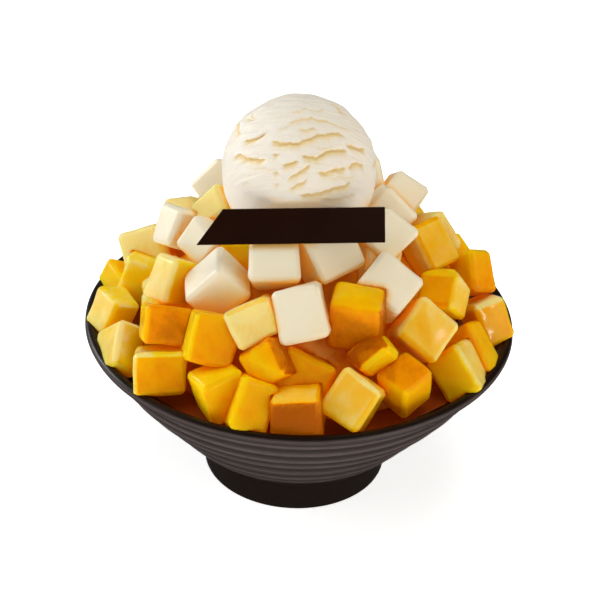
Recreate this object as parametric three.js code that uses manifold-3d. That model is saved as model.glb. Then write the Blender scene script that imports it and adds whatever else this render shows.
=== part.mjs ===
// Mango bingsu: a heap of shaved ice in a ribbed stoneware bowl, covered with cubes of ripe
// mango and cream cheese, with a scoop of vanilla ice cream and a small dark chocolate plaque.
// Millimetres, +Z up. The origin is the middle of the foot, on the table. A bearing is in
// degrees from the front of the bowl (-Y), and grows towards its right side (+X).

import * as THREE from 'three';
import { ConvexGeometry } from 'three/addons/geometries/ConvexGeometry.js';
import { mergeVertices } from 'three/addons/utils/BufferGeometryUtils.js';
import Module from 'manifold-3d';

const wasm = await Module();
wasm.setup();

// ---------------------------------------------------------------- driving dimensions

const RIM_RADIUS = 98;
const RIM_HEIGHT = 81;
const LIP_WIDTH = 4.5;
const FOOT_RADIUS = 43;
const FOOT_HEIGHT = 14;
const FOOT_RECESS = 3;
const WALL = 6;
const RIB_DEPTH = 0.9;
const BOWL_SIDES = 44;
const ICE_SIDES = BOWL_SIDES / 2;   // so that its corners stand in the bowl's

const GAP = 0.35;               // kept between pieces that touch

const SCOOP_RADIUS = 34;
const SCOOP_MIDDLE = [-2.6, 0, 154];
const SCOOP_RIDGE = 0.5;        // height of the torn ridges
const SCOOP_LUMP = 0.5;         // how far the ball is from round

// Its slanted end is on the left. It leans back on the scoop and tips down to the left.
const PLAQUE = {
  length: 79.5, height: 15, thickness: 2, slant: 11.5, middle: [-5.2, -39, 148.7], lean: 22, tip: 3,
};

const SYRUP_LEVEL = 74;
const SYRUP_DEPTH = 7;
const SHELF_RADIUS = 76;        // where the ice rises out of the syrup

const CUBE = 21;                // a usual cube of mango or cheese
const CHAMFER = 1.5;
const UNEVEN = 0.9;             // how far a knife-cut corner strays

const COLOURS = {
  stoneware: [0x3a3431, 0.55],
  mango: [0xf3b52c, 0.3],
  cheese: [0xf7eed6, 0.45],
  iceCream: [0xf2e8d0, 0.7],
  ice: [0xe08a1e, 0.6],
  syrup: [0x5a1a06, 0.1],
  chocolate: [0x24110b, 0.35],
};

// ---------------------------------------------------------------- small helpers

const radians = THREE.MathUtils.degToRad;

function seeded(seed) {
  let state = seed * 7919 + 17;
  return () => {
    state = (state * 1664525 + 1013904223) >>> 0;
    return state / 2 ** 32;
  };
}

function finish(name) {
  const [color, roughness] = COLOURS[name];
  return new THREE.MeshStandardMaterial({ color, roughness, metalness: 0 });
}

function toSolid(geometry, matrix = new THREE.Matrix4()) {
  const bare = geometry.clone();
  bare.deleteAttribute('normal');
  bare.deleteAttribute('uv');
  bare.applyMatrix4(matrix);
  const merged = mergeVertices(bare, 1e-4);
  const mesh = new wasm.Mesh({
    numProp: 3,
    vertProperties: new Float32Array(merged.attributes.position.array),
    triVerts: new Uint32Array(merged.index.array),
  });
  return new wasm.Manifold(mesh);
}

function toGeometry(solid) {
  const { vertProperties, triVerts } = solid.getMesh();
  const geometry = new THREE.BufferGeometry();
  geometry.setAttribute('position', new THREE.BufferAttribute(new Float32Array(vertProperties), 3));
  geometry.setIndex(new THREE.BufferAttribute(new Uint32Array(triVerts), 1));
  return geometry;
}

// What is left of a solid once its neighbours have pressed into it: the largest scrap stays.
function pressedBy(solid, neighbours) {
  let rest = solid;
  for (const neighbour of neighbours) rest = rest.subtract(neighbour);
  const scraps = rest.decompose();
  return scraps.reduce((best, scrap) => (scrap.volume() > best.volume() ? scrap : best));
}

function lathe(outline, sides = BOWL_SIDES) {
  return new THREE.LatheGeometry(outline, sides).rotateX(Math.PI / 2);
}

const point = (radius, height) => new THREE.Vector2(radius, height);

const model = new THREE.Group();

function place(name, geometry, look, home = new THREE.Matrix4()) {
  const mesh = new THREE.Mesh(geometry.applyMatrix4(home.clone().invert()), finish(look));
  mesh.name = name;
  home.decompose(mesh.position, mesh.quaternion, mesh.scale);
  model.add(mesh);
}

// ---------------------------------------------------------------- bowl

// Outer wall: it leaves the foot steeply and opens in an even curve to the rim.
const WALL_CURVE = new THREE.SplineCurve([
  point(FOOT_RADIUS + 1, FOOT_HEIGHT),
  point(FOOT_RADIUS + 8.5, 20),
  point(60, 30),
  point(70.5, 42),
  point(81, 55),
  point(90, 68),
  point(RIM_RADIUS - 1.5, RIM_HEIGHT - 4),
]);
const RIB_HEIGHTS = [25, 31, 48.5, 57, 65, 72];

function wallRadius(height) {
  let low = 0;
  let high = 1;
  for (let step = 0; step < 30; step += 1) {
    const middle = (low + high) / 2;
    if (WALL_CURVE.getPoint(middle).y < height) low = middle;
    else high = middle;
  }
  return WALL_CURVE.getPoint(low).x;
}

// A rib is a throwing ring: a rounded land with a shallow groove above and below it.
function ribbedWall() {
  const outline = [point(wallRadius(FOOT_HEIGHT), FOOT_HEIGHT), point(wallRadius(20), 20)];
  for (const height of RIB_HEIGHTS) {
    outline.push(point(wallRadius(height - 2.4) - RIB_DEPTH, height - 2.4));
    outline.push(point(wallRadius(height - 0.8), height - 0.8));
    outline.push(point(wallRadius(height + 0.8), height + 0.8));
  }
  outline.push(point(wallRadius(RIM_HEIGHT - 6.5) - RIB_DEPTH, RIM_HEIGHT - 6.5));
  return outline;
}

// Inside of the wall, from the bottom of the well up to the lip.
function innerWall(extra = 0) {
  const steps = [70, 58, 44, 32, 24];
  const side = steps.map((height) => point(wallRadius(height) - WALL - extra, height));
  const mouth = point(RIM_RADIUS - LIP_WIDTH - extra, RIM_HEIGHT - 0.8);
  const well = FOOT_HEIGHT + WALL - 2 + extra;
  return [mouth, ...side, point(34 - extra, well + 1), point(0, well)];
}

const bowlOutline = [
  point(0, FOOT_RECESS),
  point(FOOT_RADIUS - 8, FOOT_RECESS),
  point(FOOT_RADIUS - 7, 0),
  point(FOOT_RADIUS - 1, 0),
  point(FOOT_RADIUS, 1),
  point(FOOT_RADIUS - 0.5, FOOT_HEIGHT - 1),
  ...ribbedWall(),
  point(RIM_RADIUS - 0.6, RIM_HEIGHT - 4.5),
  point(RIM_RADIUS, RIM_HEIGHT - 2),
  point(RIM_RADIUS - 0.8, RIM_HEIGHT - 0.3),
  point(RIM_RADIUS - LIP_WIDTH / 2, RIM_HEIGHT),
  ...innerWall(),
];
place('bowl', toGeometry(toSolid(lathe(bowlOutline))), 'stoneware');

// The room that the bowl takes, with the gap round it, for what lies against it.
const bowlRoom = toSolid(lathe([
  point(0, -1),
  point(RIM_RADIUS + 30, -1),
  point(RIM_RADIUS + 30, RIM_HEIGHT - 6),
  point(RIM_RADIUS + GAP, RIM_HEIGHT + GAP),
  point(RIM_RADIUS - LIP_WIDTH - GAP, RIM_HEIGHT + GAP),
  ...innerWall(GAP),
]));

// ---------------------------------------------------------------- cubes

// A knife-cut cube: eight corners that stray a little, each cut by the chamfers of its three
// edges. A cube cut from the cheek of the fruit swells on its top by its dome. Its room, which
// its neighbours keep clear of, is the same cube grown by the gap, with whole corners.
function cubeGeometry([wide, deep, tall], seed, dome = 0, grow = 0) {
  const random = seeded(seed);
  const stray = () => (random() - 0.5) * 2 * UNEVEN;
  const half = [wide / 2 + grow, deep / 2 + grow, tall / 2 + grow];
  const cuts = grow ? [[0, 0, 0]] : [[0, 1, 1], [1, 0, 1], [1, 1, 0]];
  const signs = [-1, 1];
  const points = [];
  for (const x of signs) {
    for (const y of signs) {
      for (const z of signs) {
        const corner = [x * half[0] + stray(), y * half[1] + stray(), z * half[2] + stray()];
        for (const cut of cuts) {
          const inward = new THREE.Vector3(-x * cut[0], -y * cut[1], -z * cut[2]);
          points.push(inward.multiplyScalar(CHAMFER).add(new THREE.Vector3(...corner)));
        }
      }
    }
  }
  if (dome) {
    for (const x of signs) {
      for (const y of signs) points.push(new THREE.Vector3(x * wide / 5, y * deep / 5, half[2] + dome));
    }
  }
  return new ConvexGeometry(points);
}

// Where a cube lies: bearing, distance from the bowl's axis and height of its middle, then how
// its front face looks: turned to the right by yaw, up by pitch, and rolled clockwise.
function cubeHome([bearing, out, height], [yaw, pitch, roll]) {
  const turn = new THREE.Matrix4().makeRotationZ(radians(yaw))
    .multiply(new THREE.Matrix4().makeRotationX(radians(-pitch)))
    .multiply(new THREE.Matrix4().makeRotationY(radians(roll)));
  const x = out * Math.sin(radians(bearing));
  const y = -out * Math.cos(radians(bearing));
  return new THREE.Matrix4().makeTranslation(x, y, height).multiply(turn);
}

// Cubes in the order in which they are laid, each pressed by the ones before it.
// name, where, look, size, dome
const LAID = [
  ['mango_05', [-45, 83, 86], [4, 24, -1], [22, 20, 19]],
  ['mango_15', [0.5, 82, 85], [-5, 9, -6], [20.5, 20, 18]],
  ['mango_14', [-13.2, 82, 85], [10, 28, 20], [15.5, 20, 23]],
  ['mango_13', [-24, 80, 87], [30, 5, -13], [18.5, 18, 20]],
  ['mango_19', [17.3, 80.5, 87], [-12, 37, 24], [19.5, 20, 20.5]],
  ['mango_20', [35, 80, 88], [46, -12, -16], [18, 16, 18]],
  ['mango_29', [57, 84.5, 83], [-24, 20, -41], [16.5, 20, 21.5]],
  ['mango_03', [-65, 88, 80.5], [-70, 36, -50], [20, 13, 23]],
  ['mango_02', [-80.5, 85, 86], [-60, 22, -2], [18, 14, 18]],
  ['mango_01', [-103.5, 85.2, 77.3], [-60, 25, 10], [20, 20, 20]],
  ['mango_21', [50, 69.5, 103], [15, 36, 44], [21, 20, 20]],
  ['mango_17', [25, 58, 113], [-8, -3, 0], [22, 20, 23], 2],
  ['cheese_12', [1, 57, 116.5], [-6, 30, -20], [20.5, 20, 22.5]],
  ['mango_11', [-18, 60, 112], [-5, 28, -30], [19, 20, 16]],
  ['mango_12', [-10, 72, 100.5], [-30, 25, -42], [16.5, 12, 16.5]],
  ['mango_16', [2, 66, 91], [5, 30, 26], [23, 20, 19]],
  ['cheese_03', [-43, 52, 117], [4, -4, -47], [22, 19, 20]],
  ['mango_06', [-32, 70, 103], [14, 30, 17], [20, 20, 22]],
  ['mango_04', [-49.5, 74, 103], [14, 30, 10], [22, 20, 15.5]],
  ['mango_07', [-64, 62, 112], [-52, 32, -12], [16, 17, 19]],
  ['mango_08', [-97, 74, 91], [-10, 18, 12], [16, 20, 20]],
  ['mango_18', [26.5, 71, 101.5], [-36, 46, -66], [16, 13, 11]],
  ['mango_28', [68, 83.5, 84], [-28, 20, -42], [15, 16, 23]],
  ['mango_27', [83.5, 85, 87], [25, 26, -10], [14.5, 18, 20]],
  ['mango_22', [71, 67, 106.5], [-38, 44, -16], [18, 19, 16], 3],
  ['mango_26', [91, 77.5, 105], [-50, 15, -32], [16, 14, 19]],
  ['cheese_06', [44, 53, 119], [15, 46, 43], [22, 20, 21]],
  ['cheese_04', [-17, 40, 129], [0, 40, -5], [20.5, 20, 17]],
  ['cheese_05', [20, 31, 131], [30, 30, -11], [22, 20, 21]],
  ['cheese_02', [-70, 43, 124], [-45, 25, 18], [18, 18, 16]],
  ['cheese_07', [65, 40, 133], [10, 30, 45], [17, 20, 19]],
  ['mango_23', [96, 57, 115], [30, 40, -10], [16, 19, 23]],
  ['mango_30', [-58, 36, 121], [0, 20, 10], [18, 18, 18]],
  ['cheese_13', [56, 40.7, 121], [10, 30, 10], [15, 18, 18]],
  ['cheese_01', [-90, 55, 123], [-58, 30, -15], [15, 16, 18]],
  ['mango_09', [-107, 75, 98], [-15, 25, -25], [20, 20, 20]],
  ['cheese_08', [109, 40, 128], [8, 20, 48], [18, 18, 16]],
  ['mango_31', [-93, 37, 133], [-50, 25, 35], [13, 16, 17]],
  ['cheese_11', [-127, 49, 129], [-15, 32, 42], [17, 17, 17]],
  ['mango_24', [111, 61.5, 109], [40, 30, -20], [20, 20, 20]],
  ['mango_25', [110, 71, 95], [50, 30, -20], [20, 20, 20]],
  ['cheese_09', [124.5, 53, 127], [20, 34, 43], [17, 14, 18]],
  ['mango_10', [-118, 61, 109], [-30, 20, 10], [20, 20, 20], 2],
  ['cheese_10', [142, 43, 133], [5, 20, -17], [18, 18, 18]],
];

// Round the back, and in one place on the left, rows of touching cubes are one piece each.
const BACK_ROWS = [
  { look: 'mango', out: 81, height: 86, cubes: 2, bearings: [138, 170, 202, 233] },
  { look: 'mango', out: 67, height: 100, cubes: 2, bearings: [142, 180, 217] },
  { look: 'mango', out: 60, height: 95, cubes: 2, bearings: [285] },
  { look: 'mango', out: 54, height: 114, cubes: 2, bearings: [166, 210] },
  { look: 'cheese', out: 39, height: 124, cubes: 3, bearings: [190] },
];
const ROW_PITCH = 20;           // between the middles of two touching cubes

const rooms = [];               // the room that each piece takes, with the gap round it

function meets(one, other) {
  const a = one.boundingBox();
  const b = other.boundingBox();
  return [0, 1, 2].every((axis) => a.min[axis] < b.max[axis] && b.min[axis] < a.max[axis]);
}

function lay(name, look, solid, room, home) {
  const neighbours = rooms.filter((other) => meets(other, solid));
  place(name, toGeometry(pressedBy(solid, [bowlRoom, ...neighbours])), look, home);
  rooms.push(room);
}

// ---------------------------------------------------------------- plaque

const plaqueOutline = new THREE.Shape([
  point(-PLAQUE.length / 2, -PLAQUE.height / 2),
  point(PLAQUE.length / 2, -PLAQUE.height / 2),
  point(PLAQUE.length / 2, PLAQUE.height / 2),
  point(-PLAQUE.length / 2 + PLAQUE.slant, PLAQUE.height / 2),
]);

function plaqueGeometry(grow) {
  const depth = PLAQUE.thickness + 2 * grow;
  const slab = new THREE.ExtrudeGeometry(plaqueOutline, { depth, bevelEnabled: false });
  return slab.translate(0, 0, -depth / 2).rotateX(Math.PI / 2);
}

const plaqueHome = new THREE.Matrix4().makeTranslation(...PLAQUE.middle)
  .multiply(new THREE.Matrix4().makeRotationX(radians(-PLAQUE.lean)))
  .multiply(new THREE.Matrix4().makeRotationY(radians(-PLAQUE.tip)));

const plaqueSolid = toSolid(plaqueGeometry(0), plaqueHome);
const plaqueRoom = toSolid(plaqueGeometry(GAP), plaqueHome);
lay('plaque', 'chocolate', plaqueSolid, plaqueRoom, plaqueHome);

// ---------------------------------------------------------------- cubes, front and back

LAID.forEach(([name, where, turned, size, dome], index) => {
  const home = cubeHome(where, turned);
  const solid = toSolid(cubeGeometry(size, index, dome), home);
  const room = toSolid(cubeGeometry(size, index, dome, GAP), home);
  lay(name, name.split('_')[0], solid, room, home);
});

// Cubes that touch, turned at random, side by side on a ring about a bearing.
function layRow(name, { look, out, height, cubes }, bearing) {
  const random = seeded(bearing);
  const spread = (range) => (random() - 0.5) * range;
  const step = THREE.MathUtils.radToDeg(ROW_PITCH / out);
  const homes = Array.from({ length: cubes }, (_, index) => {
    const aside = bearing + (index - (cubes - 1) / 2) * step;
    const turned = [aside - 180 + spread(50), 35 + spread(40), spread(80)];
    return cubeHome([aside, out + spread(4), height + spread(5)], turned);
  });
  const size = [CUBE, CUBE, CUBE - 1];
  const row = (grow) => homes
    .map((home, index) => toSolid(cubeGeometry(size, bearing + index, 0, grow), home))
    .reduce((sum, cube) => sum.add(cube));
  lay(name, look, row(0), row(GAP), homes[0]);
}

const rows = BACK_ROWS.flatMap((row) => row.bearings.map((bearing) => ({ row, bearing })));
rows.forEach(({ row, bearing }, index) => layRow(`${row.look}_row_${index + 1}`, row, bearing));

// ---------------------------------------------------------------- scoop

// A ball with the torn ridges that the scoop leaves as it rolls up the ice cream.
function scoopGeometry(grow) {
  const ball = new THREE.SphereGeometry(SCOOP_RADIUS, 36, 19).rotateX(Math.PI / 2);
  const places = ball.attributes.position;
  const spot = new THREE.Vector3();
  for (let i = 0; i < places.count; i += 1) {
    spot.fromBufferAttribute(places, i).normalize();
    const bearing = Math.atan2(spot.x, -spot.y);
    const ridge = Math.sin(17 * spot.z - 1.2 * bearing + 1.4 * Math.sin(2 * bearing));
    const upper = THREE.MathUtils.smoothstep(spot.z, -0.5, 0.1);
    const lump = SCOOP_LUMP * Math.sin(3 * bearing + 2 * spot.z) * (1 - spot.z ** 2);
    const relief = SCOOP_RIDGE * ridge * upper * (1 - spot.z ** 4);
    spot.multiplyScalar(SCOOP_RADIUS + grow + lump + relief);
    places.setXYZ(i, spot.x, spot.y, spot.z);
  }
  return ball;
}

const scoopHome = new THREE.Matrix4().makeTranslation(...SCOOP_MIDDLE);
const scoopSolid = toSolid(scoopGeometry(0), scoopHome);
const scoopRoom = toSolid(scoopGeometry(GAP), scoopHome);
lay('scoop', 'iceCream', scoopSolid, scoopRoom, scoopHome);

// ---------------------------------------------------------------- shaved ice and syrup

// The ice fills the bowl to a shelf below the syrup, then rises as a dome under the cubes.
const SHELF = SYRUP_LEVEL - SYRUP_DEPTH;
const ICE_DOME = [
  point(SHELF_RADIUS, SHELF),
  point(72, 78),
  point(62, 94),
  point(50, 107),
  point(38, 117),
  point(0, 123),
];

function wallSide(height) {
  return point(wallRadius(height) - WALL - GAP, height);
}

const iceBelow = innerWall(GAP).reverse().filter((corner) => corner.y < SHELF - 1);
const ice = toSolid(lathe([...iceBelow, wallSide(SHELF), ...ICE_DOME], ICE_SIDES));
lay('ice', 'ice', ice, ice, new THREE.Matrix4());

// A ring of syrup stands between the wall and the ice.
const syrupInside = [
  point(SHELF_RADIUS + GAP, SHELF + GAP),
  point(SHELF_RADIUS - 2 + GAP, SYRUP_LEVEL),
];
const syrupOutside = [wallSide(SHELF + GAP), wallSide(SYRUP_LEVEL)];
const syrup = toSolid(lathe(
  [syrupInside[0], ...syrupOutside, syrupInside[1], syrupInside[0]],
  ICE_SIDES,
));
lay('syrup', 'syrup', syrup, syrup, new THREE.Matrix4());

// ---------------------------------------------------------------- hand over

export default model;
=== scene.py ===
# %% [markdown]
# # A mango bingsu
#
# Shaved ice soaked with mango juice fills a bowl of brown stoneware. Cubes of ripe mango and
# cream cheese cover it, and a scoop of vanilla ice cream and a dark chocolate plaque stand on
# top. The shapes come in as a plain frame of solids. Each piece is then made again with soft
# edges, torn ridges and wet surfaces, exactly where its solid is. All lengths are in metres, as
# Blender counts them, so a length in millimetres is written as a number times `MM`.

# %% Load the frame
import math
import random

import bmesh
import bpy
import numpy as np
from mathutils import Matrix, Vector, noise
from mathutils.bvhtree import BVHTree


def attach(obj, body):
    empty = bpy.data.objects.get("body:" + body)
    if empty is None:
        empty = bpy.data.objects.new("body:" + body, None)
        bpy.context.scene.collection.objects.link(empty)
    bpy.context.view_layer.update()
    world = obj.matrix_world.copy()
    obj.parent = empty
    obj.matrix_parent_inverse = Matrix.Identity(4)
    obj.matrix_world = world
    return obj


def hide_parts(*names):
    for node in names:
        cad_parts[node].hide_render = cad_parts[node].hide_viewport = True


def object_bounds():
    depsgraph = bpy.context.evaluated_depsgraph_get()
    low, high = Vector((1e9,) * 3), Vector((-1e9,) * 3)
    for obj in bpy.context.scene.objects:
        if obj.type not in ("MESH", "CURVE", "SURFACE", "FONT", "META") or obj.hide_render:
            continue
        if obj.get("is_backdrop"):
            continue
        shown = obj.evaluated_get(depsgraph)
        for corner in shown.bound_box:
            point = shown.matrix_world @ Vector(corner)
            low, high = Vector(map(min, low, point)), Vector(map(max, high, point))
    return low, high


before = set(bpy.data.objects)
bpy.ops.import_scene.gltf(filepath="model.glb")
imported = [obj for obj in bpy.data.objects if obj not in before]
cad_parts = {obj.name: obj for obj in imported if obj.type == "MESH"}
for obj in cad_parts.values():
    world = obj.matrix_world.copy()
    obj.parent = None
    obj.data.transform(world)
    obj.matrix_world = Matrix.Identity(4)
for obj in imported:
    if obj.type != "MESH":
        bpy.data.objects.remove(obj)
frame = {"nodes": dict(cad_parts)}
cad_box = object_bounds()
nodes = frame["nodes"]
MM = 0.001
low, high = [[round(value / MM, 1) for value in corner] for corner in cad_box]
print("frame:", len(nodes), "solids, from", low, "to", high, "mm")

# %% [markdown]
# ## The camera
#
# The bowl is seen from a little above, through a long lens, so that the rim is an ellipse and
# the foot still shows. A wide lens close by would make the front cubes huge, so a long lens from
# further away is used, which keeps the cubes at the front and back nearly the same size. The
# camera could track an empty, but a matrix made from its height angle, distance and aim says
# plainly where it is. It is tipped by a hair, as if held by hand.

# %% Place the camera
ELEVATION = 32.2
DISTANCE = 0.8
AIM = Vector((0, 0, 0.0876))
TIP = 2.2
SENSOR_WIDTH = 36
FOCAL_LENGTH = 104.86

back = Vector((0, -math.cos(math.radians(ELEVATION)), math.sin(math.radians(ELEVATION))))
look = bpy.data.cameras.new("camera")
look.sensor_width = SENSOR_WIDTH
look.lens = FOCAL_LENGTH
camera = bpy.data.objects.new("camera", look)
bpy.context.scene.collection.objects.link(camera)
camera.matrix_world = (
    Matrix.Translation(AIM + back * DISTANCE)
    @ Matrix.Rotation(math.radians(90 - ELEVATION), 4, "X")
    @ Matrix.Rotation(math.radians(TIP), 4, "Z")
)
bpy.context.scene.camera = camera
print("camera at", [round(v, 3) for v in camera.matrix_world.translation])

# %% [markdown]
# ## Writing finishes as sums
#
# A finish is a tree of nodes. Wiring each node by hand makes long code, so a small class wraps
# a node's output and gives it the signs of arithmetic: `1 - mask` adds a Math node. Colours
# don't go through Math, which would turn them grey, but through `mixed`. A noise's scale counts
# its waves in a metre, so a scale of 140 makes clouds about 7 mm wide.

# %% A wrapped output
class Wire:
    """An output of a finish's node, which can be used in sums."""

    def __init__(self, finish, socket):
        self.finish = finish
        self.socket = socket

    def maths(self, operation, first, second):
        return self.finish.node("Math", {"operation": operation}, {0: first, 1: second})

    def __add__(self, other):
        return self.maths("ADD", self, other)

    def __radd__(self, other):
        return self.maths("ADD", other, self)

    def __sub__(self, other):
        return self.maths("SUBTRACT", self, other)

    def __rsub__(self, other):
        return self.maths("SUBTRACT", other, self)

    def __mul__(self, other):
        return self.maths("MULTIPLY", self, other)

    def __rmul__(self, other):
        return self.maths("MULTIPLY", other, self)


# %% A finish
class Finish:
    """A material that is built node by node."""

    def __init__(self, name):
        self.material = bpy.data.materials.new(name)
        self.material.use_nodes = True
        self.tree = self.material.node_tree
        self.tree.nodes.clear()

    def socket(self, sockets, key):
        shown = [socket for socket in sockets if socket.enabled]
        if isinstance(key, int):
            return shown[key]
        return next(socket for socket in shown if socket.name == key)

    def node(self, kind, settings=None, sockets=None, output=0):
        made = self.tree.nodes.new("ShaderNode" + kind)
        for name, value in (settings or {}).items():
            if name == "stops":
                self.set_stops(made.color_ramp, value)
            else:
                setattr(made, name, value)
        for name, value in (sockets or {}).items():
            end = self.socket(made.inputs, name)
            if isinstance(value, Wire):
                self.tree.links.new(value.socket, end)
            else:
                end.default_value = value
        if made.outputs:
            return Wire(self, self.socket(made.outputs, output))
        return None

    def set_stops(self, ramp, stops):
        while len(ramp.elements) < len(stops):
            ramp.elements.new(0.5)
        for element, (position, color) in zip(ramp.elements, stops):
            element.position = position
            element.color = color

    def place(self, scale=(1, 1, 1)):
        spot = self.node("TexCoord", output="Object")
        return self.node("Mapping", None, {"Vector": spot, "Scale": scale})

    def attribute(self, name):
        return self.node("Attribute", {"attribute_name": name}, output="Fac")

    def noise(self, spot, scale, detail=2.0, roughness=0.5):
        sockets = {"Vector": spot, "Scale": scale, "Detail": detail, "Roughness": roughness}
        return self.node("TexNoise", None, sockets, output="Fac")

    def ramp(self, value, low, high):
        """0 at low, 1 at high and a smooth step between; low may be the larger of the two."""
        settings = {"interpolation_type": "SMOOTHSTEP"}
        return self.node("MapRange", settings, {"Value": value, "From Min": low, "From Max": high})

    def mixed(self, share, one, other, blend="MIX"):
        settings = {"data_type": "RGBA", "blend_type": blend}
        return self.node("Mix", settings, {"Factor": share, "A": one, "B": other})

    def bump(self, height, depth, strength=1.0):
        return self.node("Bump", None, {"Height": height, "Distance": depth, "Strength": strength})

    def surface(self, **sockets):
        names = {name.replace("_", " "): value for name, value in sockets.items()}
        shader = self.node("BsdfPrincipled", None, names)
        self.node("OutputMaterial", None, {"Surface": shader})
        return self.material


def rgb(red, green, blue):
    return (red, green, blue, 1)


print("sums on outputs can use", len([n for n in vars(Wire) if n.startswith("__r")]), "signs")

# %% [markdown]
# ## Ripe mango
#
# Cut mango is wet and lets light in for a few millimetres. A bare cut face is pale yellow, and a
# face that is soaked with syrup is clear amber. Light that has passed through fruit has lost its
# blue and green, so the shaded sides turn to deep orange, not grey, and this shade is painted into
# the colour. Each of these could be a layer of its own, but all of them run along one row of
# colours, so the finish adds them up to one depth and reads the colour off a ramp. The share of
# syrup is set for each side of each cube and also holds painted shade. `glow` says how much light
# is left and `nook` how shut in a point is, and the painted shade is worked out from these two.
#
# Wet fruit is clear, which takes the last blue out of it, and the milk value keeps the blue where
# a face is dry, and so also paints a pale sheen on faces that mirror a bright light. Deep in the
# gaps light goes from cube to cube more often than a render follows it, so a faint orange emission
# stands for it, a painted glow. Subsurface scattering lets the edges glow.

# %% Mango finish
def mango_finish():
    finish = Finish("ripe_mango")
    spot = finish.place()
    cloud = finish.noise(spot, 140, 3)
    fibre = finish.noise(finish.place((1.0, 0.35, 0.6)), 700, 3, 0.6)
    wet = finish.ramp(finish.noise(spot, 60, 2), 0.4, 0.6)
    shut = finish.ramp(finish.attribute("nook"), 0.2, 0.9)
    # painted shade: darker amber where little light is left and where a point is shut in
    painted_shade = 0.42 * (0.62 - finish.attribute("glow")) + 0.18 * shut
    streaks = 0.35 * (cloud - 0.5) - 0.15 * (fibre - 0.5)
    # the share of syrup also holds painted shade on the sides that lie in shade
    depth = finish.attribute("soaked") + painted_shade + streaks
    pale = finish.ramp(depth, 0.18, -0.05)
    stops = [
        (0.0, rgb(0.96, 0.76, 0.29)),
        (0.28, rgb(0.94, 0.57, 0.055)),
        (0.48, rgb(0.94, 0.47, 0.001)),
        (0.72, rgb(0.88, 0.32, 0.0)),
        (1.0, rgb(0.44, 0.105, 0.0)),
    ]
    flesh = finish.node("ValToRGB", {"stops": stops}, {"Fac": depth}, "Color")
    clear = finish.mixed(1.0, flesh, rgb(1, 0.98, 0.04), "MULTIPLY")
    # painted sheen: faces in the table of dry faces, and faces with a small depth, keep their blue
    # and look pale; partly a dry cut, partly a painted sheen
    cut = finish.mixed(finish.attribute("milk") + pale, clear, flesh)
    height = fibre * 0.4 + finish.noise(spot, 350, 2)
    # painted glow: a faint orange emission in the gaps stands for light bounced between cubes
    lit = finish.mixed(shut, rgb(0, 0, 0), rgb(0.15, 0.032, 0.0))
    return finish.surface(
        Base_Color=cut,
        Roughness=0.4 + 0.14 * cloud,
        Normal=finish.bump(height, 0.00012, 0.6),
        Subsurface_Weight=0.7,
        Subsurface_Radius=(1.0, 0.45, 0.05),
        Subsurface_Scale=0.009,
        Specular_IOR_Level=0.05,
        Coat_Weight=0.15 + 0.6 * wet,
        Coat_Roughness=0.07,
        Coat_IOR=1.33,
        Emission_Color=lit,
        Emission_Strength=1.0,
    )


mango = mango_finish()
print("mango finish has", len(mango.node_tree.nodes), "nodes")

# %% [markdown]
# ## Cream cheese
#
# The cheese is ivory and dense, with a moist, satin cut face. It could be one plain colour, but
# beside wet fruit that looks like plaster: juice stains a cube where it touches mango, and yellow
# light bounces into it. So the colour is painted warmer towards straw where little light is left,
# as painted shade, and towards amber in the nooks, which is the juice stain and painted bounced
# light together. A faint emission in the nooks is a painted glow.

# %% Cheese finish
def cheese_finish():
    finish = Finish("cream_cheese")
    nook = finish.attribute("nook")
    spot = finish.place()
    cloud = finish.noise(spot, 60, 3)
    glow = finish.attribute("glow")
    curd = finish.mixed(cloud, rgb(0.94, 0.86, 0.67), rgb(0.91, 0.81, 0.59))
    # painted shade: warmer towards straw where little light is left
    painted_shade = 0.7 * finish.ramp(glow, 0.7, 0.05)
    crossed = finish.mixed(painted_shade, curd, rgb(0.89, 0.73, 0.38))
    # juice stain and painted bounced light: amber in the nooks, with a faint painted glow
    shut = finish.ramp(nook, 0.1, 0.6)
    tint_and_painted_shade = finish.mixed(shut * 0.9, crossed, rgb(0.86, 0.47, 0.06))
    lit = finish.mixed(shut, rgb(0, 0, 0), rgb(0.08, 0.042, 0.006))
    grain = finish.noise(spot, 1400, 3)
    return finish.surface(
        Base_Color=tint_and_painted_shade,
        Roughness=0.42 + 0.1 * cloud,
        Normal=finish.bump(grain, 0.00006, 0.5),
        Subsurface_Weight=0.3,
        Subsurface_Radius=(1.0, 0.9, 0.6),
        Subsurface_Scale=0.0025,
        Coat_Weight=0.12,
        Coat_Roughness=0.3,
        Emission_Color=lit,
        Emission_Strength=1.0,
    )


cheese = cheese_finish()
print("cheese finish has", len(cheese.node_tree.nodes), "nodes")

# %% [markdown]
# ## How deep in the heap
#
# The gaps between the cubes are darker and warmer than their faces. Blender has an Ambient
# Occlusion node for this, but it is worked out again in every sample of every render. Here rays
# leave each vertex in five directions, and each one that soon meets another piece adds to the
# answer. It is worked out once and kept as an attribute, which costs nothing to render.

# %% Measure how shut in a point is
REACH = 14 * MM
CLEAR = 0.8 * MM
AHEAD = 0.6
ASIDE = 0.8


def tree_of(names):
    corners = []
    faces = []
    for name in names:
        first = len(corners)
        corners += [vertex.co.copy() for vertex in nodes[name].data.vertices]
        faces += [[first + index for index in face.vertices] for face in nodes[name].data.polygons]
    return BVHTree.FromPolygons(corners, faces)


def shut_in(tree, spot, normal):
    across = normal.orthogonal().normalized()
    along = normal.cross(across)
    ways = [normal]
    for side in (across, -across, along, -along):
        ways.append(AHEAD * normal + ASIDE * side)
    start = spot + normal * CLEAR
    total = 0
    for way in ways:
        distance = tree.ray_cast(start, way, REACH)[3]
        if distance is not None:
            total += 1 - distance / REACH
    return total / len(ways)


over_it_all = shut_in(tree_of(nodes), Vector((0, 0, 0.2)), Vector((0, 0, 1)))
print("above the scoop the measure is", over_it_all)

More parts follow.
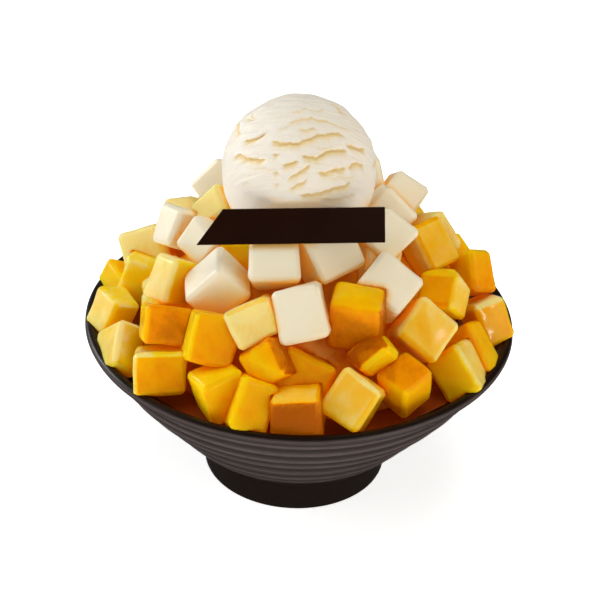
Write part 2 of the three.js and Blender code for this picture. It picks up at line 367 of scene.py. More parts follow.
# %% [markdown]
# ## How much fruit the light has crossed
#
# Light comes from above and behind, so the front of a cube is lit from within: near its top edge
# the light has crossed little fruit and is still yellow, lower down it has crossed more and is
# amber. Scattering alone reaches a few millimetres and doesn't carry that through a whole cube. So
# a ray from a point towards the light adds up what lies inside the solids on its way, and the
# share of light that is left falls with that length.

# %% Measure what is left of the light
CLEARNESS = 9 * MM
SKIN = 0.8 * MM
STEP_OVER = 0.01 * MM
FAR = 0.1
WALLS = 5

LIGHT_WAYS = [(-0.7, 0.35, 0.6), (-0.2, 0.45, 0.85), (0.15, 0.0, 1.0)]
LIGHT_WAYS = [Vector(way).normalized() for way in LIGHT_WAYS]

fruit = tree_of([name for name in nodes if name.split("_")[0] in ("mango", "cheese", "ice")])


def crossed(spot, normal, way):
    """The length inside the solids, from just under the surface towards the light."""
    start = spot - normal * SKIN
    total = 0
    for _ in range(WALLS):
        hit, facing, _, distance = fruit.ray_cast(start, way, FAR)
        if hit is None:
            break
        if facing.dot(way) > 0:
            total += distance
        start = hit + way * STEP_OVER
    return total


def glowing(spot, normal):
    shares = [math.exp(-crossed(spot, normal, way) / CLEARNESS) for way in LIGHT_WAYS]
    return sum(shares) / len(shares)


left_on_top = glowing(Vector((0, 0, 0.19)), Vector((0, 0, 1)))
print("over the heap", round(left_on_top, 2), "of the light is left")

# %% [markdown]
# ## From solid to soft piece
#
# A knife-cut cube has flat faces and soft edges. A bevel would round a clean cube, but these have
# dents where their neighbours press in, and a bevel tangles there. A voxel remesh turns the solid
# into an even grid of small squares instead. Smoothing on that grid melts the edges but leaves
# the faces flat. Slow noise then makes each face a little uneven, as a knife leaves it.

# %% Copy, remesh and smooth
MERGE = 0.001 * MM


def merged_copy(name):
    shape = bmesh.new()
    shape.from_mesh(nodes[name].data)
    bmesh.ops.remove_doubles(shape, verts=shape.verts, dist=MERGE)
    return shape


def remeshed(name, size):
    solid = merged_copy(name)
    mesh = bpy.data.meshes.new(name + "_draft")
    solid.to_mesh(mesh)
    solid.free()
    draft = bpy.data.objects.new("draft", mesh)
    bpy.context.scene.collection.objects.link(draft)
    grid = draft.modifiers.new("grid", "REMESH")
    grid.mode = "VOXEL"
    grid.voxel_size = size
    depsgraph = bpy.context.evaluated_depsgraph_get()
    shape = bmesh.new()
    shape.from_object(draft, depsgraph)
    bpy.data.objects.remove(draft)
    bpy.data.meshes.remove(mesh)
    return shape


def smooth(shape, rounds):
    for _ in range(rounds):
        bmesh.ops.smooth_vert(
            shape, verts=shape.verts, factor=0.5,
            use_axis_x=True, use_axis_y=True, use_axis_z=True,
        )


def roughen(shape, offset, size, depth, swell=0):
    """Pushes each point out by the swell, and in or out by noise of this size and depth."""
    shape.normal_update()
    for vertex in shape.verts:
        push = noise.noise(vertex.co / size + offset)
        vertex.co += vertex.normal * (push * depth + swell)


trial = merged_copy("plaque")
print("the plaque's solid has", len(trial.verts), "corners once they are merged")
trial.free()

# %% Turn a shape into a finished piece
def finished(name, shape, finish, replaced, values=None):
    mesh = bpy.data.meshes.new(name)
    shape.to_mesh(mesh)
    shape.free()
    for key, numbers in (values or {}).items():
        attribute = mesh.attributes.new(key, "FLOAT", "POINT")
        attribute.data.foreach_set("value", numbers)
    mesh.materials.append(finish)
    mesh.shade_smooth()
    piece = bpy.data.objects.new(name, mesh)
    bpy.context.scene.collection.objects.link(piece)
    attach(piece, "root")
    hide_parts(replaced)
    return piece


# %% [markdown]
# ## Values on a piece
#
# A finish reads the two measures from the piece's vertices, and paints shade with them. Rays alone
# miss the last millimetres beside a neighbour, where juice gathers and shade falls, so a point
# close to another piece counts as shut in too. The piece's own solid is left out, because its own
# dents and ridges would paint shade on it in patches.

# %% Work out the values
NEAR = 4.5 * MM
TOUCHING = 0.6


def nooks(shape, name):
    """How shut in or how near to another piece each point is."""
    shape.normal_update()
    others = tree_of([other for other in nodes if other != name])
    made = []
    for vertex in shape.verts:
        gap = others.find_nearest(vertex.co)[3]
        close = TOUCHING * max(0, 1 - gap / NEAR)
        made.append(max(close, shut_in(others, vertex.co, vertex.normal)))
    return made


def glows(shape):
    return [glowing(vertex.co, vertex.normal) for vertex in shape.verts]


print("a neighbour counts within", NEAR / MM, "mm")

# %% [markdown]
# ## Where the syrup has run, and painted shade
#
# Syrup was poured from above, so some cubes are soaked and others stay bare and pale, and on many
# one side differs from the rest. The shares also hold painted shade: a side that lies in shade is
# given a deeper share, so it is painted a darker amber. Noise alone would spot every cube alike.
# So a table gives each cube its share of syrup and painted shade, from 0 for bare to 1 for soaked
# and shaded, then the sides that differ and their share. Cubes that aren't in the table draw their
# share by chance.

# %% The share of syrup and painted shade on each cube
SIDES = {"left": (-0.85, -0.4, 0.35), "right": (0.85, -0.3, 0.4), "up": (0, -0.15, 1)}
SIDES = {side: Vector(way).normalized() for side, way in SIDES.items()}
SOAK_AND_SHADE = {
    "mango_01": (0.4, {}),
    "mango_02": (0.4, {"left": 0.25, "right": 0.1, "up": 0.25}),
    "mango_03": (0.1, {"left": 0.3, "right": 0.4, "up": 0.0}),
    "mango_04": (0.75, {"left": 0.5, "right": 0.9, "up": 0.85}),
    "mango_05": (0.55, {"left": 0.2, "right": 0.2, "up": 0.1}),
    "mango_06": (0.55, {"left": 0.3}),
    "mango_07": (0.05, {"left": 0.15, "right": 0.3}),
    "mango_08": (0.15, {"up": 0.25}),
    "mango_09": (0.05, {"left": 0.0, "right": 0.2}),
    "mango_10": (0.1, {}),
    "mango_11": (0.0, {"right": 0.1, "up": 0.35}),
    "mango_12": (0.45, {"right": 1.0, "up": 0.95}),
    "mango_13": (0.5, {"left": 0.3, "right": 0.25, "up": 0.4}),
    "mango_14": (0.45, {"left": 0.4, "right": 0.55}),
    "mango_15": (1.0, {"right": 0.95, "up": 0.4}),
    "mango_16": (0.55, {"up": 0.4}),
    "mango_17": (0.7, {"right": 1.0, "up": 0.5}),
    "mango_18": (0.15, {"left": 0.95, "up": 0.9}),
    "mango_19": (0.55, {"left": 0.3, "right": 0.2, "up": 0.15}),
    "mango_20": (0.35, {"left": 0.45, "right": 0.55, "up": 0.7}),
    "mango_21": (0.4, {"left": 0.0, "right": 0.0, "up": 0.15}),
    "mango_22": (0.1, {"left": 0.7, "right": 0.2, "up": 0.35}),
    "mango_23": (0.65, {"left": 0.05, "right": 0.3}),
    "mango_24": (0.1, {}),
    "mango_26": (0.6, {"left": 0.45, "up": 0.5}),
    "mango_27": (0.45, {"up": 0.0}),
    "mango_28": (0.6, {"right": 0.5}),
    "mango_29": (0.2, {"up": 0.05}),
    "mango_30": (0.3, {"up": 0.4}),
    "mango_31": (0.0, {"right": 0.15}),
}


# %% Spread the shares over the faces
SIDE_STARTS = 0.6
SIDE_BLEND = 0.25
CHANCE = (0.15, 0.75)


def turned(vertex, side):
    """1 where a face looks to this side, 0 where it doesn't, and a blend between."""
    part = (vertex.normal.dot(SIDES[side]) - SIDE_STARTS) / SIDE_BLEND
    return min(1, max(0, part))


def soaked(name, shape, draws):
    """Each point's share of syrup and painted shade."""
    chance = draws.uniform(*CHANCE)
    share, sides = SOAK_AND_SHADE.get(name, (chance, {"up": chance - 0.1}))
    made = []
    for vertex in shape.verts:
        value = share
        for side, other in sides.items():
            value += (other - value) * turned(vertex, side)
        made.append(value)
    return made


print(len(SOAK_AND_SHADE), "cubes have a share of their own")

# %% [markdown]
# ## Dry faces
#
# Where the syrup has missed a cut, the fruit looks milky: the cut is dry and scatters the light
# before it gets in. The same milky colour also paints a pale sheen on faces that mirror a bright
# light. Being pale isn't enough to be dry, because some pale cubes are wet, so this is a second
# table. It names the side of a cube that is dry and painted with sheen, or all of it. The joined
# cubes round the back draw how dry they are by chance.

# %% Where the cubes are dry and painted with sheen
DRY_AND_SHEEN = {
    "mango_02": "left", "mango_03": "left", "mango_05": "left", "mango_07": "left",
    "mango_09": "all", "mango_10": "all", "mango_11": "all", "mango_15": "up",
    "mango_19": "all", "mango_21": "all", "mango_22": "right", "mango_23": "all",
    "mango_24": "all", "mango_27": "all", "mango_28": "right", "mango_29": "right",
    "mango_31": "all",
}


def dry_and_painted_sheen(name, shape, draws):
    """1 where a face is dry and milky with a painted sheen, 0 where it is wet and clear."""
    chance = draws.uniform(0, 1)
    side = DRY_AND_SHEEN.get(name)
    if side in SIDES:
        return [turned(vertex, side) for vertex in shape.verts]
    if side == "all":
        return [1] * len(shape.verts)
    return [chance if "row" in name else 0] * len(shape.verts)


print(len(DRY_AND_SHEEN), "cubes are dry on a side or all round")

# %% [markdown]
# ## The cubes
#
# Every cube goes through the same steps, with its own piece of noise. One cube could be made and
# copied, but no two cuts are alike, and each has to sit in its own dents. The squares of the grid
# are small enough to keep the knife's edges, and a little larger on the joined cubes round the
# back. Three soft cubes low in the heap have slumped and are smoothed for more rounds. Smoothing
# shrinks a cube by a hair, and the swell gives that back.

# %% Make the cubes
CUBE_GRID = 0.5 * MM
ROW_GRID = 0.7 * MM
KNIFE = 10 * MM
KNIFE_DEPTH = {"mango": 0.55 * MM, "cheese": 0.3 * MM}
SOFTNESS = 1
SLUMPED = {"mango_17": 14, "mango_16": 6, "mango_26": 5}
SWELL = 0.28 * MM

draws = random.Random(4)
finishes = {"mango": mango, "cheese": cheese}
faces = 0
for name in sorted(nodes):
    kind = name.split("_")[0]
    if kind not in finishes:
        continue
    offset = Vector([draws.uniform(-50, 50) for _ in range(3)])
    cube = remeshed(name, ROW_GRID if "row" in name else CUBE_GRID)
    smooth(cube, SLUMPED.get(name, SOFTNESS))
    roughen(cube, offset, KNIFE, KNIFE_DEPTH[kind], SWELL)
    faces += len(cube.faces)
    values = {"nook": nooks(cube, name), "glow": glows(cube)}
    values |= {"soaked": soaked(name, cube, draws), "milk": dry_and_painted_sheen(name, cube, draws)}
    finished(name + "_cut", cube, finishes[kind], name, values)
print("cubes:", faces, "faces")

# %% [markdown]
# ## The ice cream
#
# A scoop that is rolled over firm ice cream tears its skin, and each tear leaves a ragged
# shelf: the layer above hangs over, and the layer below comes out from under it. Noise alone
# gives dents all over and no shelves, so each tear is a line on the ball, through a few points
# given by bearing and height. The ball starts as an icosphere, which has no poles to pinch the
# pattern, and is cut finer in front and above, where the tears are.

# %% The tears in front
# the points of each tear as (bearing in degrees, height in mm), then its depth in mm
TEARS = [
    ([(-64, 19.5), (-58, 22), (-51, 24), (-45, 26), (-41, 27)], 1.5),
    ([(-33, 24.5), (-13, 25), (-5, 25.5), (5, 26.5), (19, 27.5), (49, 27), (57, 25)], 1.3),
    ([(48, 23), (57, 21), (75, 17)], 1.5),
    ([(0, 22.5), (7, 21.5), (15, 21), (23, 22), (36, 22), (50, 20.5)], 1.6),
    ([(-65, 12.5), (-57, 15.5), (-49, 16.5), (-38, 17.5), (-28, 19)], 1.4),
    ([(-27, 20.5), (-17, 21.5)], 1.2),
    ([(-16, 17.5), (-8, 19), (2, 20)], 1.3),
    ([(-22, 14), (-14, 14.5)], 1.1),
    ([(-10, 12), (-4, 14.5), (3, 16.5), (12, 18.5)], 1.0),
    ([(-8, 7.5), (-2, 10.5), (4, 12.5), (9, 14.5)], 0.9),
    ([(14, 15.5), (24, 15), (42, 15.5)], 1.2),
    ([(41, 15.5), (52, 15), (64, 12)], 1.2),
    ([(0, 6.5), (11, 6.5), (19, 8), (30, 8.5), (44, 8)], 1.4),
    ([(-24, 30.5), (-3, 31.5), (24, 32), (48, 30.5), (72, 25)], 0.6),
    ([(-67, 26.5), (-64, 30), (-59, 32.5)], 0.45),
    ([(-7, 29.5), (17, 29.5), (27, 29)], 0.6),
    ([(-36, 32.5), (16, 33.5), (70, 32.5), (82, 29.5)], 0.4),
    ([(-46, 5.5), (-38, 7.5)], 0.5),
    ([(-45, 8.5), (-35, 11.5)], 0.35),
    ([(-20, 9.5), (-12, 11.5)], 0.7),
    ([(13, 24), (25, 24), (39, 23)], 0.35),
    ([(-36, 27.5), (-22, 29.5), (-8, 30.5)], 0.35),
    ([(23, 11.5), (33, 12), (51, 10)], 0.4),
    ([(-42, 13.5), (-25, 15), (-17, 16)], 0.3),
    ([(16, 4), (31, 3.5), (49, 2.5)], 0.5),
]
print(len(TEARS), "tears in front")

# %% The ball and the tears round the back
FINE_ABOVE = 0.08
FINE_BEFORE = 0.15
BACK_TEARS = 34


def ball():
    shape = bmesh.new()
    bmesh.ops.create_icosphere(shape, subdivisions=7, radius=1)
    fine = [
        edge for edge in shape.edges
        if all(end.co.z > FINE_ABOVE and end.co.y < FINE_BEFORE for end in edge.verts)
    ]
    bmesh.ops.subdivide_edges(shape, edges=fine, cuts=1, use_grid_fill=True)
    bmesh.ops.triangulate(shape, faces=[face for face in shape.faces if len(face.verts) > 4])
    return shape


def back_tears(draws):
    made = []
    for _ in range(BACK_TEARS):
        bearing = draws.uniform(75, 270)
        height = draws.uniform(2, 30)
        length = draws.uniform(14, 34)
        rise = draws.uniform(-1.5, 4)
        ends = [(bearing, height), (bearing + length, height + rise)]
        made.append((ends, draws.uniform(0.4, 1.4)))
    return made


print(BACK_TEARS, "tears round the back")

# %% Carve one tear into the ball
SCOOP_RADIUS = 34 * MM
WAVES = [(0.35, 0.13), (0.25, 0.37), (0.15, 0.95)]
TEAR_END = 2.5
OVERHANG = 0.35
SHELF = 1.6
LIP = 2.2
STAIN = 2.4
SINK = 0.75
RAISE = 0.3


def carve(relief, tear, bearing, height, flat, draws):
    """Adds a tear to the relief, in mm. Returns how much each point lies in the tear."""
    points, depth = tear
    bearings, heights = np.array(points).T
    length = bearings[-1] - bearings[0]
    along = (bearing - bearings[0]) % 360
    phases = [draws.uniform(0, 6.3) for _ in WAVES]
    ragged = sum(
        size * np.sin(rate * bearing + phase) for (size, rate), phase in zip(WAVES, phases)
    )
    line = np.interp(along, bearings - bearings[0], heights) + ragged * flat
    above = (height - line) / flat
    ends = np.minimum(along, length - along) * flat * math.radians(SCOOP_RADIUS / MM)
    fade = np.clip(ends / TEAR_END, 0, 1)
    sunk = np.where(above < 0, np.exp(above / SHELF), np.exp(-above / OVERHANG))
    lip = np.where(above > 0, np.exp(-above / LIP), 0)
    relief += fade * depth * (RAISE * lip - SINK * sunk)
    # painted shade: the ochre tint down in a tear
    tint_and_painted_shade = np.where(above < 0, np.exp(above / STAIN), sunk)
    return fade * tint_and_painted_shade * min(1, 0.15 + 0.8 * depth)


# %% [markdown]
# ## Shaping the scoop
#
# Between the tears the ball isn't smooth either: it has slow lumps, a fine grain, and thin layers
# that lean forward, left by the scoop's edge. The plaque and the cubes press against it, so a ray
# from its middle finds where they are, and the ball stays just inside.

# %% Shape the scoop
SCOOP_MIDDLE = Vector((-2.6, 0, 154)) * MM
SCOOP_GAP = 0.35 * MM
INSET = 0.25 * MM
STACK = Vector((0, 0.8, 0.6))
LEAN = Vector((0, -0.6, 0.8))
LUMP, LAYER, GRAIN = 0.7, 0.6, 0.1

pressing = tree_of([name for name in nodes if name not in ("scoop", "bowl", "syrup")])


def unevenness(way):
    """How far the ball stands out in this direction, in mm, apart from its tears."""
    lump = noise.noise(way * 2.2) * LUMP
    layer = noise.noise(Vector((way.x * 4, way.dot(LEAN) * 4, way.dot(STACK) * 24))) * LAYER
    upper = min(1, max(0, 1.6 * way.z + 0.2))
    return lump + layer * upper + noise.noise(way * 45) * GRAIN


def scoop():
    draws = random.Random(11)
    shape = ball()
    spots = np.array([vertex.co for vertex in shape.verts])
    bearing = np.degrees(np.arctan2(spots[:, 0], -spots[:, 1]))
    height = spots[:, 2] * SCOOP_RADIUS / MM
    flat = np.sqrt(np.maximum(1 - spots[:, 2] ** 2, 0.04))
    relief = np.zeros(len(spots))
    torn = np.zeros(len(spots))
    for tear in TEARS + back_tears(draws):
        torn = np.maximum(torn, carve(relief, tear, bearing, height, flat, draws))
    for index, vertex in enumerate(shape.verts):
        way = vertex.co.normalized()
        radius = SCOOP_RADIUS - INSET + (relief[index] + unevenness(way)) * MM
        hit = pressing.ray_cast(SCOOP_MIDDLE, way)[3]
        if hit is not None:
            radius = min(radius, hit - SCOOP_GAP)
        vertex.co = SCOOP_MIDDLE + way * radius
    return shape, torn


torn_ball, torn = scoop()
print("scoop:", len(torn_ball.faces), "faces, deepest tear", round(float(torn.max()), 2))

# %% [markdown]
# ## Vanilla ice cream
#
# The ball is pale cream, matt where it is frozen, and painted ochre down in the tears as shade,
# where light has gone through more of it. The carving kept how much each point lies in a tear, so
# the painted tint follows the shelves exactly, which noise couldn't. Where it is shut in by the
# plaque and the cubes it is painted warmer, as light bounced from the fruit, with a faint emission
# as a painted glow. A fine bump stands for the ice crystals.

# %% Ice cream finish
def ice_cream_finish():
    finish = Finish("vanilla_ice_cream")
    tear = finish.attribute("tear")
    nook = finish.attribute("nook")
    spot = finish.place()
    cloud = finish.noise(spot, 70, 3)
    cream = finish.mixed(cloud, rgb(0.94, 0.88, 0.78), rgb(0.91, 0.83, 0.70))
    # painted shade: ochre down in the tears
    torn = finish.mixed(finish.ramp(tear, 0.1, 0.75) * 0.9, cream, rgb(0.87, 0.65, 0.27))
    # painted bounced light and a faint painted glow where the ball is shut in
    shut = finish.ramp(nook, 0.0, 0.45)
    tint_and_painted_shade = finish.mixed(shut * 0.7, torn, rgb(0.90, 0.66, 0.36))
    lit = finish.mixed(shut, rgb(0, 0, 0), rgb(0.14, 0.09, 0.05))
    crystals = finish.noise(spot, 1800, 4, 0.65)
    return finish.surface(
        Base_Color=tint_and_painted_shade,
        Roughness=0.6 - 0.15 * cloud,
        Normal=finish.bump(crystals, 0.0002, 0.5),
        Subsurface_Weight=0.25,
        Subsurface_Radius=(1.0, 0.7, 0.4),
        Subsurface_Scale=0.002,
        Emission_Color=lit,
        Emission_Strength=1.0,
    )


values = {"tear": torn.tolist(), "nook": nooks(torn_ball, "scoop")}
scoop_piece = finished(
    "scoop_torn", torn_ball, ice_cream_finish(), "scoop", values
)
print("ice cream finish has", len(scoop_piece.active_material.node_tree.nodes), "nodes")

# %% [markdown]
# ## The soaked ice
#
# Under the cubes lies a core of shaved ice. Mango juice has soaked it orange, and it only shows in
# the gaps, where it is painted a deeper orange as shade where it is shut in. Single flakes would
# be lost down there, so it is the same remesh as the cubes, on a coarser grid, with two sizes of
# noise for clumps and flakes.

# %% Ice finish
def ice_finish():
    finish = Finish("soaked_ice")
    spot = finish.place()
    cloud = finish.noise(spot, 220, 4, 0.6)
    nook = finish.attribute("nook")
    patches = finish.ramp(cloud, 0.35, 0.7)
    fresh = finish.mixed(patches, rgb(0.93, 0.36, 0.001), rgb(0.95, 0.46, 0.002))
    # painted shade: deeper orange where the ice is shut in
    soaked = finish.mixed(finish.ramp(nook, 0.3, 0.9), fresh, rgb(0.90, 0.24, 0.0))
    flakes = finish.noise(spot, 900, 4, 0.65)
    return finish.surface(
        Base_Color=soaked,
        Roughness=0.4 + 0.2 * cloud,
        Normal=finish.bump(flakes, 0.0004, 0.7),
        Subsurface_Weight=0.3,
        Subsurface_Radius=(1.0, 0.3, 0.05),
        Subsurface_Scale=0.004,
        Coat_Weight=0.4,
        Coat_Roughness=0.2,
    )


# %% Make the ice
ICE_GRID = 1.3 * MM
CLUMP, CLUMP_DEPTH = 6 * MM, 0.7 * MM
FLAKE, FLAKE_DEPTH = 2.2 * MM, 0.5 * MM

core = remeshed("ice", ICE_GRID)
smooth(core, 2)
roughen(core, Vector((3, 5, 7)), CLUMP, CLUMP_DEPTH)
roughen(core, Vector((9, 2, 4)), FLAKE, FLAKE_DEPTH)
print("ice:", len(core.faces), "faces")
values = {"nook": nooks(core, "ice")}
finished("ice_flaked", core, ice_finish(), "ice", values)

# %% [markdown]
# ## The syrup
#
# Dark amber syrup stands between the heap and the wall. A flat ring would do for its level, but a
# liquid climbs a little where it touches something, and that thin curl is what catches the light.
# So the solid is remeshed, and the grid is lifted close to the cubes and the bowl.

# %% Syrup finish
def syrup_finish():
    finish = Finish("amber_syrup")
    cloud = finish.noise(finish.place(), 60, 2)
    amber = finish.mixed(cloud, rgb(0.16, 0.022, 0.003), rgb(0.36, 0.075, 0.01))
    return finish.surface(
        Base_Color=amber,
        Roughness=0.08 + 0.05 * cloud,
        Subsurface_Weight=0.1,
        Subsurface_Radius=(1.0, 0.2, 0.02),
        Subsurface_Scale=0.003,
        Coat_Weight=0.6,
        Coat_Roughness=0.04,
    )


# %% Make the syrup
SYRUP_GRID = 0.8 * MM
SYRUP_LEVEL = 74 * MM
SURFACE = 0.5 * MM
CLIMB = 0.9 * MM
CLIMB_REACH = 1.3 * MM
RIPPLE, RIPPLE_DEPTH = 7 * MM, 0.15 * MM

shores = tree_of([name for name in nodes if name != "syrup"])
syrup = remeshed("syrup", SYRUP_GRID)
smooth(syrup, 2)
for vertex in syrup.verts:
    if vertex.co.z > SYRUP_LEVEL - SURFACE:
        distance = shores.find_nearest(vertex.co)[3]
        ripple = noise.noise(vertex.co / RIPPLE) * RIPPLE_DEPTH
        vertex.co.z += CLIMB * math.exp(-distance / CLIMB_REACH) + ripple
print("syrup:", len(syrup.faces), "faces")
finished("syrup_pool", syrup, syrup_finish(), "syrup")

# %% [markdown]
# ## The bowl
#
# The bowl is thrown on a wheel, so a spin of its outline about the axis is how it is really
# made. It could be a stack of scaled circles, but the spin closes both ends and keeps every ring
# round. The fingers leave rings: broad crests with shallow dips between them, narrower near the
# foot. The wall is a smooth curve through a few measures, in millimetres, less the depth of the
# dips.

# %% The wall's outline
RIM_RADIUS = 98
RIM_HEIGHT = 81
LIP_WIDTH = 4.5
FOOT_RADIUS = 43
FOOT_HEIGHT = 14
FOOT_RECESS = 3
WALL = 6
CRESTS = [(27, 0.9, 0.6), (32, 1.5, 0.8), (40.5, 2.8, 0.75), (50.5, 2.0, 0.85)]
CRESTS += [(57.5, 1.7, 0.95), (65.2, 1.7, 1), (72.8, 1.7, 1), (79.4, 0.9, 0.8)]
CREST_DEPTH = 0.8

wall_heights = [14, 20, 30, 42, 55, 68, 77]
wall_radii = [44, 51.5, 60, 70.5, 81, 90, 96.5]
wall_curve = np.polynomial.Polynomial.fit(wall_heights, wall_radii, 5)
strays = np.abs(wall_curve(np.array(wall_heights)) - wall_radii)
print("the wall's curve strays by", round(float(strays.max()), 2), "mm")


def crest(height):
    """1 on a full crest, and 0 in the dips between."""
    return max(
        share * math.exp(-(((height - middle) / width) ** 2)) for middle, width, share in CRESTS
    )


def ring_point(height):
    return float(wall_curve(height)) - CREST_DEPTH * (1 - crest(height)), height


# %% The whole outline
RING_STEP = 0.4
INNER_HEIGHTS = (70, 64, 58, 51, 44, 38, 32, 24)


def bowl_outline():
    """Radius and height in mm, from the middle of the foot over the lip to the bowl's floor."""
    foot, rim, top = FOOT_RADIUS, RIM_RADIUS, RIM_HEIGHT
    outline = [(0, FOOT_RECESS), (foot - 8, FOOT_RECESS), (foot - 7, 0.3)]
    outline += [(foot - 6.5, 0), (foot - 1, 0), (foot - 0.3, 0.3)]
    outline += [(foot, 1), (foot - 0.5, FOOT_HEIGHT - 1)]
    outline += [ring_point(height) for height in np.arange(FOOT_HEIGHT, top - 4.4, RING_STEP)]
    outline += [(rim - 0.5, 77.3), (rim, 78.5), (rim - 0.1, 79.5), (rim - 0.7, 80.5)]
    outline += [(rim - 1.7, top), (rim - 3, top), (rim - 4, 80.7), (rim - LIP_WIDTH, 79.9)]
    outline += [(float(wall_curve(height)) - WALL, height) for height in INNER_HEIGHTS]
    return outline + [(34, FOOT_HEIGHT + WALL - 1), (0, FOOT_HEIGHT + WALL - 2)]


print("the outline has", len(bowl_outline()), "points")

# %% Spin the bowl
BOWL_STEPS = 192

bowl = bmesh.new()
line = [bowl.verts.new((radius * MM, 0, height * MM)) for radius, height in bowl_outline()]
for one, other in zip(line, line[1:]):
    bowl.edges.new((one, other))
bmesh.ops.spin(
    bowl, geom=bowl.verts[:] + bowl.edges[:], cent=(0, 0, 0), axis=(0, 0, 1),
    angle=2 * math.pi, steps=BOWL_STEPS, use_merge=True,
)
bmesh.ops.remove_doubles(bowl, verts=bowl.verts, dist=MERGE)
bmesh.ops.recalc_face_normals(bowl, faces=bowl.faces)
print("bowl:", len(bowl.faces), "faces")

# %% [markdown]
# ## Dark stoneware
#
# The glaze is nearly black with a satin shine. Its colour is painted a lighter brown on the
# crests, where light catches them, and painted darker in the dips, where shade falls; it is
# darkest on the lip and dark on the foot. Bands on the height would slide off the rings, so each
# vertex keeps how light its colour is painted, worked out from the same crests.

# %% How light the glaze is painted
LIP_LIGHTNESS = 0.02
FOOT_LIGHTNESS = 0.15
DIP_LIGHTNESS = 0.4


def painted_lightness_at(height):
    """0 where the colour is darkest, as on the lip, and 1 on a full crest, painted lighter where
    light catches it.
    """
    if height > RIM_HEIGHT - 0.8:
        return LIP_LIGHTNESS
    if height < FOOT_HEIGHT + 10:
        return FOOT_LIGHTNESS
    return DIP_LIGHTNESS + (1 - DIP_LIGHTNESS) * crest(height)


thin = [painted_lightness_at(vertex.co.z / MM) for vertex in bowl.verts]
print("the glaze is", round(max(thin), 2), "thin on the fullest crest")

# %% Stoneware finish
def stoneware_finish():
    finish = Finish("dark_stoneware")
    spot = finish.place()
    drift = finish.noise(finish.place((1, 1, 4)), 120, 3)
    specks = finish.noise(spot, 1500, 2)
    # painted light and shade: lighter on the crests, darker in the dips; darkest on the lip and
    # dark on the foot
    thin = finish.attribute("thin") * (0.8 + 0.4 * drift)
    stops = [
        (0.0, rgb(0.006, 0.0025, 0.002)),
        (0.15, rgb(0.016, 0.0085, 0.0055)),
        (0.4, rgb(0.040, 0.028, 0.026)),
        (1.0, rgb(0.11, 0.083, 0.078)),
    ]
    glaze = finish.node("ValToRGB", {"stops": stops}, {"Fac": thin}, "Color")
    worn = finish.mixed(finish.ramp(specks, 0.6, 0.8) * 0.2, glaze, rgb(0.08, 0.06, 0.05))
    return finish.surface(
        Base_Color=worn,
        Roughness=0.33 + 0.15 * drift,
        Specular_IOR_Level=0.25,
        Normal=finish.bump(drift + 0.2 * specks, 0.0001, 0.5),
    )


finished("bowl_thrown", bowl, stoneware_finish(), "bowl", {"thin": thin})

# %% [markdown]
# ## The chocolate plaque
#
# A plaque like this is cut from a thin sheet of dark chocolate. It could be a bevelled box, but
# its solid is right already. So the piece is a merged copy of it whose loose triangles are joined
# into flat faces, and its edges get a small round bevel, as melting chocolate has.

# %% Chocolate finish
def chocolate_finish():
    finish = Finish("dark_chocolate")
    spot = finish.place()
    cloud = finish.noise(spot, 120, 3)
    bean = finish.mixed(cloud, rgb(0.012, 0.003, 0.0015), rgb(0.018, 0.005, 0.002))
    return finish.surface(
        Base_Color=bean,
        Roughness=0.42 + 0.12 * cloud,
        Specular_IOR_Level=0.06,
        Normal=finish.bump(finish.noise(spot, 500, 3), 0.00005, 0.5),
    )


chocolate = chocolate_finish()
print("chocolate finish has", len(chocolate.node_tree.nodes), "nodes")

# %% Make the plaque
FLAT_ENOUGH = math.radians(2)
MELTED = 0.35 * MM

plaque = merged_copy("plaque")
bmesh.ops.dissolve_limit(
    plaque, angle_limit=FLAT_ENOUGH, verts=plaque.verts, edges=plaque.edges
)
bmesh.ops.bevel(
    plaque, geom=plaque.edges[:], offset=MELTED, segments=3, profile=0.5,
    affect="EDGES", material=-1,
)
print("plaque:", len(plaque.faces), "faces")
finished("plaque_sheet", plaque, chocolate, "plaque")

# %% [markdown]
# ## The table
#
# A pale table runs out of sight. A white sheet that is only lit turns grey wherever the bowl
# keeps the light off it, and stronger light would bleach the ice cream. So the sheet glows by
# itself, and less so close to the foot, where a faint shade stays. It isn't part of the dessert,
# so it is declared as stage.

# %% Table
def table_finish():
    finish = Finish("white_table")
    cloud = finish.noise(finish.place(), 3, 2)
    white = finish.mixed(cloud, rgb(0.90, 0.90, 0.90), rgb(0.93, 0.93, 0.93))
    away = finish.node("VectorMath", {"operation": "LENGTH"}, {0: finish.place()}, "Value")
    shine = finish.mixed(finish.ramp(away, 0.05, 0.3), rgb(0.8, 0.8, 0.8), rgb(1, 1, 1))
    return finish.surface(
        Base_Color=white, Roughness=0.7, Emission_Color=shine, Emission_Strength=0.95
    )


# %% Make the table
TABLE_RADIUS = 4

table_shape = bmesh.new()
bmesh.ops.create_circle(table_shape, cap_ends=True, segments=96, radius=TABLE_RADIUS)
table_mesh = bpy.data.meshes.new("table")
table_shape.to_mesh(table_mesh)
table_shape.free()
table_mesh.materials.append(table_finish())
table = bpy.data.objects.new("table", table_mesh)
bpy.context.scene.collection.objects.link(table)
table.visible_glossy = False
table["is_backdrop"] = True
print("the table is", 2 * TABLE_RADIUS, "m across")

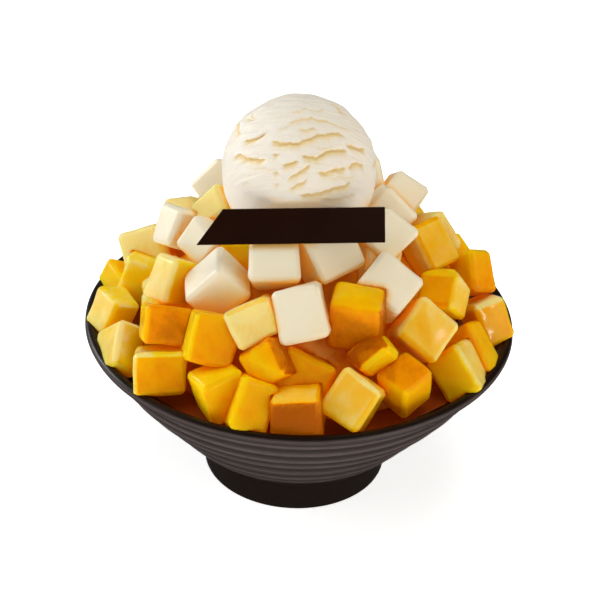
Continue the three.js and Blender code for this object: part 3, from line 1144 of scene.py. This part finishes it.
# %% [markdown]
# ## The light
#
# The food is lit by large soft screens: the strongest from the left and from above, a warm one
# from the right and a weak one from in front, so that no gap goes black. Large screens in a
# glossy coat make the fruit look misty, so most of them are hidden from reflections. Two small
# ones are the other way round: they light nothing and show only as glints on the wet faces.

# %% Lights
LIT_SPOT = Vector((0, 0, 0.1))


def screen(name, spot, size, power, color=(1, 1, 1)):
    light = bpy.data.lights.new(name, "AREA")
    light.size = size
    light.energy = power
    light.color = color
    lamp = bpy.data.objects.new(name, light)
    bpy.context.scene.collection.objects.link(lamp)
    lamp.visible_camera = False
    lamp.location = spot
    lamp.rotation_euler = (Vector(spot) - LIT_SPOT).to_track_quat("Z", "Y").to_euler()
    return lamp


left = screen("left", (-1.0, -0.2, 0.45), 1.0, 5.9)
top = screen("top", (0, 0.1, 1.2), 1.0, 7.6)
right = screen("right", (0.9, -0.6, 0.5), 0.8, 3.6, (1, 0.9, 0.75))
fill = screen("fill", (0.2, -1.1, 0.7), 0.8, 1.2, (1, 0.94, 0.85))
for soft in (left, top, fill):
    soft.visible_glossy = False

window = screen("window", (-0.98, 0.46, 0.5), 0.4, 8)
strip = screen("strip", (0.7, -0.75, 0.5), 0.15, 1.5)
for small in (window, strip):
    small.visible_diffuse = False
for lamp in (left, top, right, fill, window, strip):
    print(lamp.name, "light:", round(lamp.data.energy, 1), "W")

# %% The room and the picture
room = bpy.data.worlds.new("room")
room.use_nodes = True
room.node_tree.nodes["Background"].inputs["Color"].default_value = rgb(1, 1, 1)
room.node_tree.nodes["Background"].inputs["Strength"].default_value = 0.06
bpy.context.scene.world = room

scene = bpy.context.scene
scene.view_settings.view_transform = "Standard"
scene.cycles.use_denoising = True
print("colours go through the", scene.view_settings.view_transform, "view")

# %% [markdown]
# ## The size of it all
#
# The finished pieces have to fill the same room as the solids. Swelling and noise push a surface
# out by a fraction of a millimetre, and both boxes are printed, so that the two can be compared.

# %% Print the sizes and finish
made_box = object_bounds()
sizes = {
    "cad": [list(corner) for corner in cad_box],
    "made": [list(corner) for corner in made_box],
}
for whose, corners in sizes.items():
    print(whose, "box in mm", [[round(value / MM, 1) for value in corner] for corner in corners])
